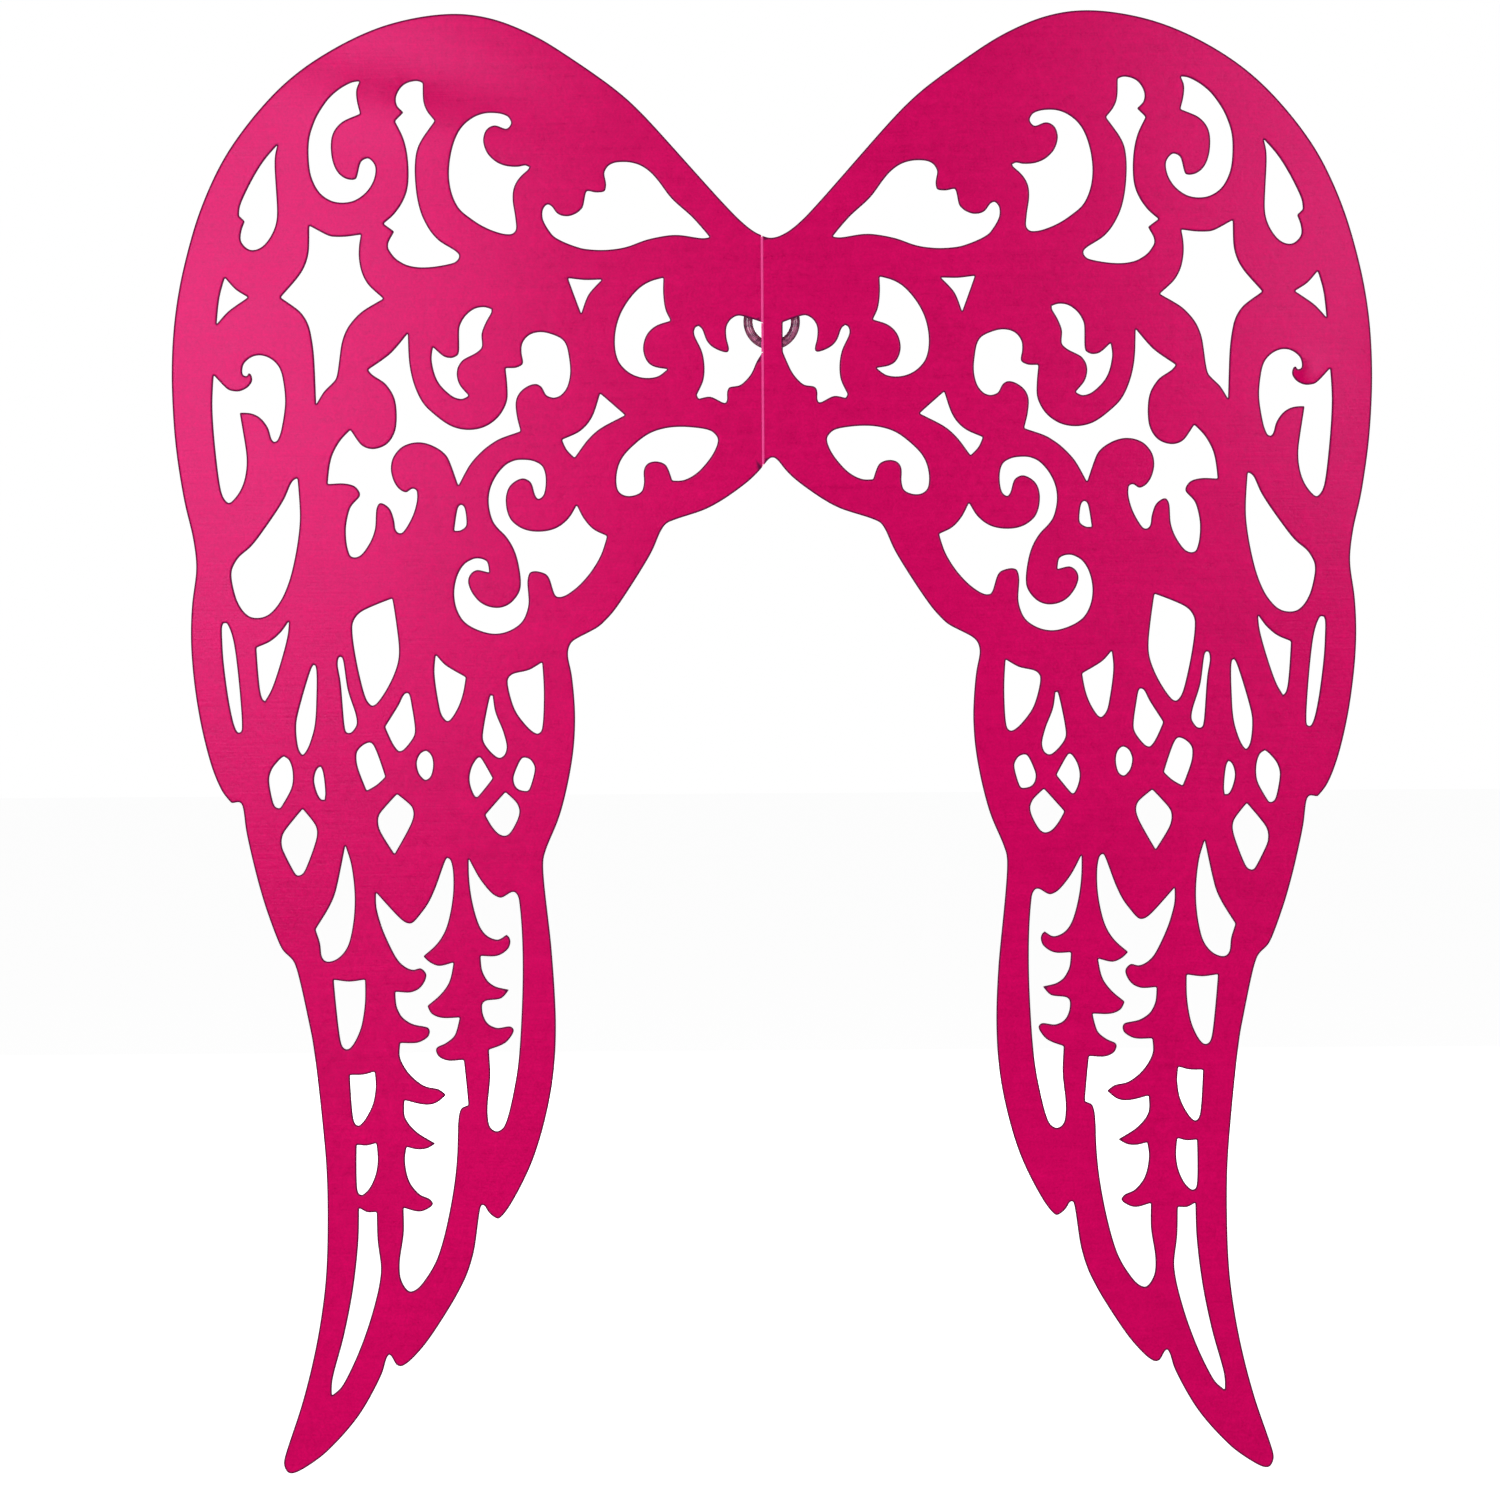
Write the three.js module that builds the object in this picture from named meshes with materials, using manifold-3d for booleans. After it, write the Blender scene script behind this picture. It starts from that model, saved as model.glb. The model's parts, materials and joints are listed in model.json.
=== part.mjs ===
// Fairy wings: one flat filigree sheet, folded down its middle, with a ring in a tab behind it.
//
// Units are millimetres. +X points right as the show face is looked at, +Z is up and +Y points away
// from the show face, towards the wearer's back. The origin is the middle of the tab's flat back
// face, on the mirror line of the wings. Both wings are cut from one outline; the crease lies just
// beside the mirror line, along the edge of the web that runs down between the two middle cut-outs.

import * as THREE from "three";
import { mergeVertices } from "three/addons/utils/BufferGeometryUtils.js";
import Module from "manifold-3d";

// ---------------------------------------------------------------- driving dimensions
const WING_REACH = 224.4; // from the mirror line to the widest point of a wing
const WINGS_HEIGHT = 543.3; // from the top of the upper wings to the tips of the tails
const SHEET_THICKNESS = 0.8;
const CREASE_X = -3.5; // the crease, seen from the front; the web's left edge
const CREASE_GAP = 0.3; // bare width of the crease between the two panels
const WEB_RIGHT_X = 4.1; // right edge of the web

const RING_SECTION = 3.4; // diameter of the ring's stock
const RING_BORE = 14.2; // clear inside diameter of the ring

const TAB_MARGIN = 0.45; // how far each side of the tab stays back from the nearer edge of the web
const TAB_STRIP = 0.5; // thickness of the strip the tab is folded from
const TAB_FLAT_HALF = 6; // half height of the part where the two layers lie together
const TAB_NECK = 1.5; // height over which the layers open out towards the eye
const TAB_EYE_CLEARANCE = 0.3; // room between the ring's stock and the eye of the tab
const SEAM_GAP = 0.3; // weld line between the tab and the sheet

const CUTTER_RADIUS = 0.6; // how far each sharp corner is rounded back by the cutter
const CURVE_STEP = 0.4; // spacing of the first points along a curve
const CHORD_ERROR = 0.22; // how far a straight facet may leave its curve
const CORNER_FACETS = 4; // facets round a cut corner
const EYE_FACETS = 8; // facets round half of the tab's eye
const STOCK_FACETS = 12; // facets round the ring's stock
const RING_FACETS = 40; // facets round the ring

// ---------------------------------------------------------------- places that follow from them
const TAB_FRONT_Y = -2 * TAB_STRIP;
const SHEET_BACK_Y = TAB_FRONT_Y - SEAM_GAP;
const SHEET_FRONT_Y = SHEET_BACK_Y - SHEET_THICKNESS;
const LEFT_PANEL_EDGE_X = CREASE_X - CREASE_GAP / 2;
const RIGHT_PANEL_EDGE_X = CREASE_X + CREASE_GAP / 2;
const TAB_WIDTH = 2 * (Math.min(-RIGHT_PANEL_EDGE_X, WEB_RIGHT_X) - TAB_MARGIN);
const RING_RADIUS = (RING_BORE + RING_SECTION) / 2; // centre line of the stock
const BORE_DROP = RING_BORE / 2 - Math.sqrt(RING_BORE ** 2 - TAB_WIDTH ** 2) / 2; // over the tab
const EYE_RADIUS = RING_SECTION / 2 + BORE_DROP + TAB_EYE_CLEARANCE;
const EYE_OUTER_RADIUS = EYE_RADIUS + TAB_STRIP;
const EYE_Y = TAB_FRONT_Y + EYE_OUTER_RADIUS;
const EYE_Z = -TAB_FLAT_HALF - TAB_NECK - EYE_OUTER_RADIUS;
const RING_CENTRE_Z = EYE_Z - RING_RADIUS; // the ring hangs straight down

// ---------------------------------------------------------------- the wing pattern
// Every path is drawn for the right wing as [x, z] points on a smooth curve, and is stretched to
// the wings' reach and height. C after a point makes it a corner. The outline starts in the notch
// at the top and ends in the notch at the bottom.
const C = "corner";

const OUTLINE = [
  [0, 11.4], [5, 13], [11, 17.5], [22.7, 30], [37.7, 47.1], [54.3, 64.2], [71, 76.7],
  [87.7, 87.3], [104.3, 94], [120, 95.8], [143.3, 91.9], [165, 82.3], [183.3, 68.9],
  [201.7, 47.1], [211.7, 27.9], [218.3, 7.9], [222.7, -13.3], [224.4, -36], [223.2, -63],
  [220, -84.7], [216.7, -99.3], [215.6, -110], [217.3, -124.7], [217.6, -141],
  [214.6, -166.3], [209.2, -187.2], [205.8, -194.3], [202.8, -198, C], [199.6, -197.8],
  [198.6, -199.5], [198.3, -202.2], [197.1, -209.7], [192.4, -229.5], [187.2, -245.5],
  [183.8, -253], [180.5, -256.3], [179.2, -258.6], [178, -263.8], [173, -286.3],
  [170.1, -310.5], [168, -333.8], [167.6, -353], [168.4, -375.5], [171.3, -396.3],
  [175.9, -416.3], [181.3, -433.8], [184, -441.5], [184.2, -445], [182.6, -447.5],
  [180.2, -447.5], [177.2, -445.9], [169.7, -440.9], [156.3, -426.3], [147.2, -409.7],
  [145.8, -405], [144.8, -403.7], [143.8, -404.6], [142.6, -407], [140.7, -408],
  [138.4, -407], [131.3, -399.7], [118, -378.8], [113.8, -368.4], [111, -352.5],
  [110.3, -348.6], [109.4, -348.3], [107.2, -351.3], [104.1, -353.3], [102.2, -352],
  [98, -345.9], [90.1, -329.3], [83.8, -304.7], [82.1, -284], [82.8, -263], [85.4, -231.5],
  [86.4, -220.5], [85.6, -216.8], [79.8, -202.2], [75.2, -181.3], [74.2, -166],
  [75.3, -151.3], [76.7, -142.5], [75.2, -138.7], [70.2, -135.9], [65.2, -133],
  [59.8, -127.6], [53.9, -119.3], [45.2, -105.1], [41.5, -97], [40, -95], [37.7, -93.8],
  [23.5, -88.8], [10.2, -80.1], [5.2, -75.5], [1.6, -71.2], [0, -70.4],
];

const SPAN_STRETCH = WING_REACH / Math.max(...OUTLINE.map(([x]) => x));
const OUTLINE_HEIGHTS = OUTLINE.map(([, z]) => z);
const DRAWN_HEIGHT = Math.max(...OUTLINE_HEIGHTS) - Math.min(...OUTLINE_HEIGHTS);
const HEIGHT_STRETCH = WINGS_HEIGHT / DRAWN_HEIGHT;

// The two cut-outs beside the web. webEdge is where their inner edge is drawn, so that it lies at
// the web's own edge once the pattern is stretched.
const webCutout = (webEdge) => [
  [webEdge, -20, C], [9, -18.6], [12, -17.5], [14, -18], [16, -19.8], [17, -22.5],
  [16.7, -27], [16, -30], [16.5, -31], [18, -31], [22, -29.2], [24, -27.2], [25.2, -24.6], [26, -22.4],
  [27.6, -21.2], [28.8, -22.6], [28.7, -25], [26.3, -30], [25.2, -35], [25.6, -41.5],
  [28.1, -47, C], [27.4, -48.4, C], [23.5, -47.6], [20.5, -48.6], [17.6, -50],
  [16.9, -49], [16.8, -46], [16, -44.3], [12, -43.4], [8, -39.5], [5.6, -34.5],
  [webEdge, -31.2, C],
];

const UPPER_CUTOUTS = {
  innerLeaf: [
    [22.9, 11.8, C], [29.3, 19.2], [33.6, 22.9], [37.7, 27.1], [42.7, 33.8], [46, 37.1], [50, 39.3],
    [56, 40.1], [60.2, 38.9], [62, 36], [61.4, 31.7], [62, 29.3], [65.2, 28.8],
    [68.6, 29.2], [69.3, 26.5], [70.2, 23.3], [72.7, 21], [76, 20], [79.3, 20.8],
    [82.1, 24], [83.4, 24.4], [84.9, 22.8], [85.1, 19.3], [82.7, 14.6], [80.2, 11.9],
    [75.2, 9.6], [70.2, 7.9], [62, 7.3], [54.3, 8.3], [46, 11.1], [36, 12.7], [24.8, 11.4],
  ],
  innerTriangle: [
    [63.2, -3.7, C], [69.5, -3.8], [75.8, -3.1, C], [73, -10.5], [71, -16.3, C], [68.3, -9.4],
  ],
  crescentHook: [
    [97.7, 57.1], [100.2, 58.3], [104.3, 58.8], [108.5, 58.1], [112.7, 55.8], [116.3, 51.7],
    [119, 44.5], [120, 36], [119, 29], [116.3, 23.3], [112.6, 20], [107.7, 16.7],
    [101.8, 14.2], [97, 13.5], [95.3, 14.8], [95.3, 19], [96.3, 26.7], [95.6, 31.5],
    [93.2, 35], [90, 38.3], [90.9, 39], [94.3, 38.6], [98.5, 38.9], [102.4, 40.5],
    [106, 44.3], [107.1, 49.2], [105.6, 52.8], [102.7, 54], [98.3, 52.8], [96.7, 54.8],
  ],
  vase: [
    [129.7, 70.3, C], [131.3, 71], [134.2, 70.8], [137.5, 69], [139.6, 65], [139.2, 61.8],
    [136.8, 59.2, C], [138.8, 57.3], [140, 56, C], [137.1, 50], [135.6, 44], [135.1, 36],
    [135.7, 30.4], [137.5, 25.8], [141, 21], [144.6, 17.9, C], [140.6, 14.9, C],
    [142.5, 11.7], [142.9, 9], [140.8, 5.5], [135.8, 2.3], [129.5, 1.4], [121.7, 2.3],
    [117.6, 3.5], [116.4, 5.5], [118, 7.6], [122.5, 10.2], [126.3, 13.8], [129.6, 19.2],
    [131.7, 25.8], [132.8, 36], [132.1, 44.6], [130, 49.2], [125.2, 55.9, C], [128.3, 60],
    [129.4, 63.3],
  ],
  scroll: [
    [153.3, 71.1, C], [155.3, 71], [160, 68.8], [164.2, 65.4], [167.5, 61.3], [170, 56.7],
    [172.2, 50], [172.4, 41], [171.3, 35], [168.3, 29.6], [164.2, 26.7], [160, 25.9],
    [155.4, 26.7], [150.8, 30], [148, 34.8], [147.7, 39.5], [150.3, 42.3], [152.9, 41],
    [154, 37], [155, 34.7], [158.2, 34.7], [161.5, 37], [163.7, 42], [164, 49.5],
    [162.5, 53.3], [159, 56.5], [153.1, 58.9, C], [154.2, 63.3], [154.5, 67.8],
  ],
  outerDrop: [
    [184.3, 47.7, C], [188.3, 43.3], [192.5, 37.1], [196.7, 29.2], [198.5, 24.6],
    [198.8, 21.5, C], [196.6, 19.4, C], [197.9, 15.8], [198, 11.8], [195, 8.8],
    [192.1, 8.8], [189, 10.8], [185.5, 16.5], [184.5, 22], [185.2, 35], [185.2, 43.3],
  ],
  star: [
    [172.4, 17.4, C], [172.5, 10.8], [173, 6], [175, 0.8], [178.4, -3.7], [183.3, -9.2, C],
    [180.5, -11.4], [176.3, -14.4], [173.2, -19], [171.4, -27], [170.4, -40], [170.2, -49.3, C],
    [167.4, -44.8], [162.7, -39.6], [161.9, -34], [160, -24.7], [157.5, -19.7],
    [152.4, -14.5], [148, -11.9], [144.9, -10.1, C], [150, -5.4], [152.6, -1], [153.9, 5], [153.7, 10.8],
    [153.1, 13.9, C], [159, 13.2], [164.5, 13.4], [168.5, 15.3],
  ],
  outerTriangle: [
    [204.2, -1.7, C], [205.4, -5], [206.6, -11], [207.4, -19, C], [203.5, -14.7],
    [195.6, -9.1, C], [200, -6.3], [202.3, -4],
  ],
};

const MIDDLE_CUTOUTS = {
  crescent: [
    [40.3, -3.2, C], [45.2, -4.6], [49.3, -7.1], [54.3, -13], [57.3, -19.3], [58.5, -27],
    [57.3, -33.8], [54.3, -37.6], [50.2, -39.9], [46, -40.5], [42.3, -39.8], [38.9, -37.3, C],
    [43.9, -36.3], [46.4, -34.5], [48, -30], [46.8, -24.7], [43.5, -21.3], [37.7, -19.2, C],
    [39.6, -15], [40.4, -8.8],
  ],
  bow: [
    [64.1, -46.2, C], [65.5, -50.8], [67.7, -55.9], [71.5, -60], [78.4, -63.3, C],
    [76.8, -66.8], [73.8, -70, C], [68.5, -63], [64.3, -59.3], [59.3, -56.6],
    [54.9, -54.3, C], [58.9, -50.9],
  ],
  hookLeaf: [
    [20.4, -63.3], [22.6, -60.6], [28, -59.2], [34.3, -58.8], [40.5, -59.4], [46, -61.3],
    [52, -65.8], [56.4, -70.9], [58.2, -77], [57.6, -82.3], [55.5, -84.1], [52, -84.3],
    [48.9, -82.7], [48, -79.5], [48, -75], [46.8, -72.6], [43.5, -71.6], [40, -72.8],
    [38.3, -75.9], [37.4, -78.8, C], [33.5, -78.7], [29.3, -76.8], [25.4, -73.2],
    [21.6, -67.8],
  ],
  fork: [
    [104.4, -14.6], [106.5, -13.7], [110.2, -14], [114, -16.6], [116.4, -21], [116.6, -28],
    [117, -31.1], [119.2, -32.4], [122.1, -32], [126.4, -28.4, C], [126.9, -33], [125, -40.5],
    [121.7, -44.7], [118.3, -47.2], [115.2, -47.7], [113.2, -46.6, C], [116.8, -42], [117.5, -37.2],
    [115.5, -33.5], [110, -30.4], [108.2, -28.5], [108.2, -23.5], [106.6, -19.3],
  ],
  wideScroll: [
    [80.2, -24.7], [86, -23.1], [90.5, -24.2], [93, -27.3], [93.3, -31], [92.9, -34.8],
    [95.5, -36.3], [99.3, -36.4, C], [98.7, -43], [98.8, -48.3], [100.6, -52.5],
    [103.5, -55.9], [108.2, -58.6], [114.5, -59.3], [120, -57.8], [125, -54.3],
    [130, -49.6], [133.3, -43], [135.2, -35], [135.8, -23.2, C], [138.8, -26.8],
    [142.5, -30.8], [150.7, -36.6, C], [149.4, -38.2], [144.9, -41.2], [141.2, -46.5], [140.1, -53],
    [141, -60.3], [144.3, -64.7], [149.6, -66.2], [153.5, -64.6], [157.5, -59, C],
    [161.3, -63], [164.6, -69.3], [166.1, -79.1, C], [159.5, -79], [155.6, -80.3],
    [154, -83.3], [157.5, -87.8], [159.2, -94], [158.9, -102.5], [157.3, -106.3],
    [154.4, -106.1], [150.8, -101.8], [148.6, -96.5], [147.6, -87.6], [146.4, -86.4],
    [143.3, -88], [141.4, -92.5], [140.4, -97], [138.6, -97.6], [135, -92.6],
    [132.8, -86], [133, -81.7], [134.3, -81.1], [136.7, -82.4], [139.8, -80.8],
    [142.2, -75.5], [141.8, -70], [137.9, -65.3], [132, -63.8], [126.3, -65.3],
    [121.5, -69], [119, -75.5], [117.2, -80, C], [112.5, -71.8], [107.5, -66.6],
    [101.4, -62.6], [93.9, -60, C], [95.3, -54], [95.4, -48], [92.8, -44.3],
    [88.5, -42.4], [86.2, -43.3], [84, -46.7], [80.6, -47.5], [77.4, -45.3],
    [75.4, -40], [75.6, -33], [77.3, -26.8],
  ],
  leafCurl: [
    [187.8, -31.8], [191.7, -30.8], [195, -31.8], [197.6, -34.6], [197.6, -37.9],
    [196.3, -38.5], [195.3, -37.4], [194.3, -38.6], [194.6, -41.3], [198.3, -44],
    [203, -43.6], [206, -40.8], [208.6, -38.1, C], [209.2, -46], [208.6, -61],
    [207, -75], [205.4, -83.4], [203.2, -85.8], [200, -83], [197.5, -78], [196.4, -71],
    [197.2, -62], [198.9, -52.2, C], [195.8, -52.2], [191.7, -53.8], [188.3, -58],
    [186.9, -62.4], [185.7, -63.3], [184.3, -61.6], [182.3, -53], [181.9, -46],
    [184, -35.5],
  ],
  sDoubleScroll: [
    [86.4, -72.6], [90.2, -70.9], [95, -70.7], [99, -72.2], [102.3, -75.5], [105.2, -81],
    [105.9, -87], [104.4, -93.3], [102.7, -95.8], [99.7, -98.9], [96.5, -104.2], [94.5, -112],
    [94.3, -118.6], [96, -122], [99.5, -125], [103.5, -125.8], [108.5, -124.3],
    [112.3, -120.2], [113.8, -115.5], [112.4, -112.6], [110, -111.6], [105.9, -112.6, C],
    [106.8, -108.5], [110.2, -107.3], [114, -108.5], [117, -112], [118.9, -118.5],
    [118.4, -125], [115.6, -130.5], [110.5, -133.8], [104, -135.4], [98.5, -134.3],
    [93.8, -131], [91.4, -125], [91.6, -115.5], [90.5, -112.6], [87, -112.4],
    [84.1, -113.9], [82.3, -118.5], [80.9, -121.6], [78.3, -121.6], [72.2, -117.4],
    [66.8, -110.9], [63.5, -104.7], [61.9, -99.3, C], [67, -96.7], [70.6, -92.6],
    [73.1, -87.8, C], [76.3, -92.8], [81, -96.3], [87.5, -97.5], [93.5, -96.3],
    [97.9, -92.7], [99.6, -86], [98.1, -80.5], [93.5, -77.6], [90.3, -78.9],
    [88.8, -83.4], [87.4, -85.2], [85.6, -84], [84.6, -79], [85.1, -74.8],
  ],
  tinyDrop: [
    [115.2, -88], [116.4, -87.3], [117.4, -88.4], [117.9, -92], [118.9, -96.9, C],
    [116.7, -96.8], [114.5, -95.2], [114.5, -91.5],
  ],
  longDrop: [
    [177.4, -76.9, C], [178.9, -77.5], [181.4, -82.8], [186.5, -90.9], [195, -102.2],
    [200, -106.7], [202.3, -111.5], [201.3, -119.3], [199, -125], [195.2, -128.5],
    [190, -128.4], [185.5, -124.8], [181.3, -116.8], [178.3, -105.5], [176.6, -93],
    [176.8, -85],
  ],
};

const LOWER_CUTOUTS = {
  outerSlit: [
    [204.4, -130.8], [205.7, -131], [206, -134], [205.7, -143], [204.2, -156.3],
    [202.7, -164.5], [200.5, -171.4], [199.2, -171.4], [198.8, -168.8], [199.6, -157.5],
    [200.9, -143], [202.3, -135.5],
  ],
  cornerSlit: [
    [181, -130.3, C], [184, -134.3], [188, -137.7], [193.2, -140, C], [192.5, -147],
    [191.5, -157.8], [190.2, -160], [188.9, -158.3], [185.8, -150.8], [182.4, -139.3],
    [181, -133],
  ],
  innerSlit: [
    [171.1, -147], [171.9, -146.6], [173.4, -151], [176.3, -159.7], [178.2, -167],
    [178.4, -172], [177.4, -178.3], [176.1, -180], [174.7, -178.6], [172, -171.4],
    [171, -164], [171, -150],
  ],
  narrowSlit: [
    [161, -144.2], [161.9, -143.6], [162.7, -145], [161.7, -153], [160.5, -166.8],
    [159.7, -171.6], [158.2, -172], [155.9, -169.2], [156, -165.8], [158.3, -159],
    [160.2, -150.2],
  ],
  kite: [
    [142.2, -122, C], [148, -124.4], [154.2, -127.2], [156.9, -130.8], [156.8, -138],
    [154.6, -150.5], [151.7, -160.2], [149.8, -161.9], [147.8, -160.6], [142.1, -151.2],
    [139.8, -143], [140.8, -133], [141.7, -124.8],
  ],
  middleFin: [
    [114.9, -151.6, C], [119.5, -148.9], [123, -146.6], [126, -143.2, C], [126.6, -148],
    [125.8, -156], [123.8, -165.8], [121.8, -167.8], [119.8, -166.2], [116.5, -159.3],
  ],
  innerFin: [
    [86.4, -146.2, C], [91, -148.9], [97.3, -150.5], [99.1, -152.4], [98.4, -158.4],
    [95.8, -165.3], [90.2, -171.8], [88.2, -172.7], [86.9, -171.8], [86, -164.7],
    [85.9, -152],
  ],
  raindrop: [
    [104.9, -158.6], [105.6, -158.4], [106.3, -161.5], [107.9, -169], [108.6, -174.6],
    [107, -177.9], [102.8, -181.6], [101, -181], [99.8, -178], [101, -172.2], [104, -164.4],
  ],
  lozenge: [
    [136.3, -157.6], [137.5, -157.5], [140, -161.8], [145.1, -169.9, C], [142.7, -175.3],
    [140.2, -178.8], [138.5, -178.5], [134.2, -172.7], [134.3, -168.5], [135.5, -160.5],
  ],
  ovalOne: [
    [91.2, -182.3], [93.8, -181.8], [95.6, -184.6], [97.3, -189.6], [96.3, -192.7],
    [94, -194], [91.8, -193.8], [90.2, -189.4], [89.4, -185.4],
  ],
  ovalTwo: [
    [110, -181.5], [112.3, -184], [113.7, -189], [112.9, -193.5], [111.2, -196.2],
    [109.2, -194.4], [105.1, -189.3, C], [107.7, -184.7],
  ],
  ovalThree: [
    [129.8, -179], [132, -180], [133.4, -183.6], [132.5, -187.4], [130.1, -189.7],
    [128.2, -188.3], [127.3, -184.5], [127.9, -180.8],
  ],
  ovalFour: [
    [150.3, -175.9], [152.6, -176.2], [155.6, -179], [155.7, -183.8], [154, -188.6],
    [152.2, -193.6, C], [148.5, -191.5], [145.2, -188.5, C], [147.6, -182.2],
  ],
  ovalFive: [
    [169.4, -184.6], [170.7, -185.5], [171.8, -189], [171.3, -192.7], [169.4, -196.6],
    [168, -196.9], [167.8, -193], [168.4, -187.4],
  ],
  ovalSix: [
    [183.1, -180.7], [185, -182.2], [187.6, -185.4], [188.7, -189.3], [187.9, -194.2],
    [186.6, -199.2], [184.8, -199.9], [182.5, -196.3], [180.1, -191.6], [180.1, -185],
    [181.6, -181.6],
  ],
  diamondInner: [
    [100.3, -194.5, C], [103.5, -198], [107.9, -203, C], [105, -207.8], [102, -210.5],
    [99.6, -210.4], [96.8, -206.3], [95.2, -202.4], [96, -198.9],
  ],
  diamondMiddle: [
    [140.8, -195, C], [144.5, -199], [147.7, -203.2], [147.6, -207.6], [144, -214],
    [141.9, -217.3, C], [138.3, -210.5], [134.9, -203.9], [135.3, -200],
  ],
  diamondOuter: [
    [176.2, -200.3, C], [180, -205.1], [183.6, -209.8], [184, -214.3], [181, -220.6],
    [178.4, -225], [176.4, -224.5], [173.6, -218.4], [170.9, -210.2], [171.4, -206.6],
  ],
};

const TAIL_CUTOUTS = {
  bentLeaf: [
    [160.3, -214.1, C], [161.9, -221.8], [164.6, -233], [168, -239.7], [171.6, -245.3, C],
    [170, -250.3], [168.9, -256.3], [166.8, -257.3], [163.2, -256], [159.8, -252],
    [157.6, -243.5], [156.9, -233], [158.2, -221],
  ],
  windowOne: [
    [153.2, -264.1, C], [159, -264.8], [164.9, -264.1, C], [163.6, -276.5], [161.7, -289],
    [160, -290], [158.3, -288.9], [155, -282.5], [153.3, -273],
  ],
  windowTwo: [
    [149.8, -298.4, C], [154, -299.5], [159, -299.6, C], [158.3, -308], [157.4, -317.2],
    [156, -318.4], [154, -316.8], [150.6, -310.6], [149.4, -303],
  ],
  windowThree: [
    [149.3, -325, C], [152.9, -325.9], [156.6, -325.6, C], [156.3, -335], [156.1, -343.4],
    [154.8, -344.2], [151.8, -341.5], [149.3, -335.5], [148.8, -329.5],
  ],
  tailSlot: [
    [149.3, -350.6, C], [152.6, -350.7], [155.8, -349.1, C], [155.9, -358], [158.4, -380.5],
    [162.6, -400.5], [166.4, -415], [166.3, -418.8, C], [163, -415.9], [159.7, -410.1],
    [155.5, -400.9], [150.1, -384.7], [147.8, -372], [149, -361],
  ],
  feather: [
    [121, -219.8], [122.2, -218.9], [124, -223.2], [128.8, -234.7], [132.6, -240.1],
    [135.8, -243.2], [138.4, -242.6], [143, -238], [148.9, -231.7, C], [148.8, -237],
    [146.3, -245.9], [143.8, -251.3], [140.9, -256.8], [138, -259.5], [135.3, -260.5],
    [132.4, -260], [130.3, -262.3], [132, -266.6], [135.5, -268.8], [141.9, -268.7, C], [141.6, -273.4],
    [139.3, -278.2], [135, -280.9], [129.6, -282.3], [129.3, -284.8], [133, -287.5],
    [140.2, -287.8, C], [140.3, -293], [137, -299], [131.3, -303.7], [125.6, -305.2],
    [123.1, -307.2, C], [127, -310.2], [130.8, -310.8], [138.7, -309.1, C],
    [138.5, -315.3], [134.6, -320.5], [127.2, -325.3, C], [130.5, -327.1],
    [134, -327.4], [138, -326.5, C], [138.6, -331.5], [137, -339.3], [133.2, -344.1],
    [129.2, -346.1], [128.3, -347.8], [131, -350], [134, -350.5], [139.2, -349.1, C],
    [139.2, -358.5], [140.8, -370.5], [140.1, -376.3], [137.3, -380.1], [134.7, -379.5],
    [128, -370.5], [124.4, -360.5], [120.4, -341], [119, -327], [118.5, -315.2],
    [117.5, -312.2], [114.9, -311, C], [115.8, -302], [116.5, -294.2, C],
    [123, -294.3], [126.2, -292.4], [126.7, -289.8], [123.4, -288], [120, -285.2],
    [117.9, -278.4, C], [125.1, -278.4], [128.5, -276.8], [130, -274, C], [125.1, -269.8],
    [121.8, -265.2], [120.1, -257.9, C], [125.7, -259.1], [129.2, -257.6],
    [131.4, -255.5, C], [126.3, -250.9], [123.1, -245.8], [120.6, -236], [120, -226],
  ],
  innerFeather: [
    [114.2, -219.3, C], [114.1, -226.3], [112.9, -235.5], [110.1, -244.7], [107.3, -248.1],
    [103.4, -249.4], [100.4, -247.6], [98.9, -249.5], [99.6, -252.7], [103.5, -255.4],
    [110, -255.5, C], [109.6, -260.3], [107.2, -265], [103.5, -267.3], [99.4, -268.1, C],
    [102.2, -271.2], [105.5, -271.9], [109, -272.7], [109.4, -276.5], [107.5, -280.6],
    [104, -282.3], [98.8, -281.9], [97.8, -283.2], [100.1, -287.2], [104, -289.4],
    [107.1, -290.4, C], [106.6, -300], [107.7, -314], [106.7, -319.3], [104.4, -320.8],
    [101.8, -319.2], [98.9, -309.8], [96.3, -296.3], [94.8, -277], [94.3, -258],
    [94.9, -241.3], [96.3, -232.5], [97.8, -231.7], [100.1, -232.9], [102.2, -233.8], [105, -232.7],
    [109.8, -227.2],
  ],
};

// ---------------------------------------------------------------- curves
// A path as runs of points between corners; a path with no corner is one closed run.
function runsBetweenCorners(path) {
  const first = path.findIndex((point) => point[2] === C);
  if (first < 0) return null;
  const turned = [...path.slice(first), ...path.slice(0, first), path[first]];
  const runs = [];
  let run = [turned[0]];
  for (const point of turned.slice(1)) {
    run.push(point);
    if (point[2] === C) {
      runs.push(run);
      run = [point];
    }
  }
  return runs;
}

function curvePoints(points, closed) {
  const places = points.map(([x, z]) =>
    new THREE.Vector3(x * SPAN_STRETCH, z * HEIGHT_STRETCH, 0));
  const curve = new THREE.CatmullRomCurve3(places, closed, "centripetal");
  const count = Math.max(4, Math.ceil(curve.getLength() / CURVE_STEP));
  return curve.getSpacedPoints(count).map((place) => new THREE.Vector2(place.x, place.y));
}

// Where a polyline has run a given length, and the points from there on.
function trimmedStart(points, length) {
  let left = length;
  for (let i = 1; i < points.length; i += 1) {
    const step = points[i].distanceTo(points[i - 1]);
    if (step > left) {
      return [points[i - 1].clone().lerp(points[i], left / step), ...points.slice(i)];
    }
    left -= step;
  }
  return points.slice(-1);
}

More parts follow.
